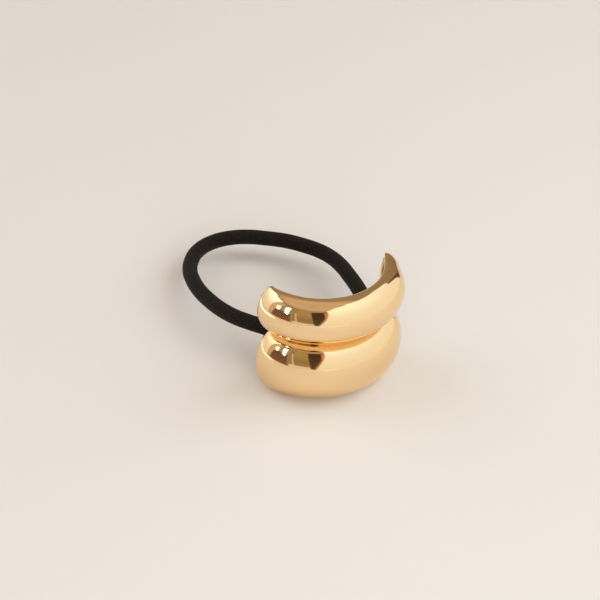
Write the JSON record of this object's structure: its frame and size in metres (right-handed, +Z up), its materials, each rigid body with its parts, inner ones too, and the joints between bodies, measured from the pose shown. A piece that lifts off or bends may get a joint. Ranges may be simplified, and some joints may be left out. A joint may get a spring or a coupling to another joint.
{
  "type": "metal cuff hair tie",
  "caption": "C-shaped cuff of puffed, polished gold-tone ribs with scooped backs; a soldered strap across the lower scoop holds a round knitted elastic loop for a ponytail.",
  "frame": {"origin": "on the axis of the cuff's arc, the line that the ponytail runs along, in the plane of the cuff's lower edge, which stands on the table", "axes": "+X across the cuff from its left end to its right end, -Y out of the domed front, +Y towards the open side and the elastic loop, +Z up along the arc's axis from the lower rib to the upper rib"},
  "size_m": [0.0458, 0.0762, 0.0311],
  "materials": {
    "gold_plate": "cast zinc alloy, polished to a mirror and plated in pale warm gold",
    "elastic_sheath": "black knitted textile sheath over a rubber core"
  },
  "bodies": {
    "root": {"cuff": "gold_plate", "elastic": "elastic_sheath"}
  },
  "joints": []
}
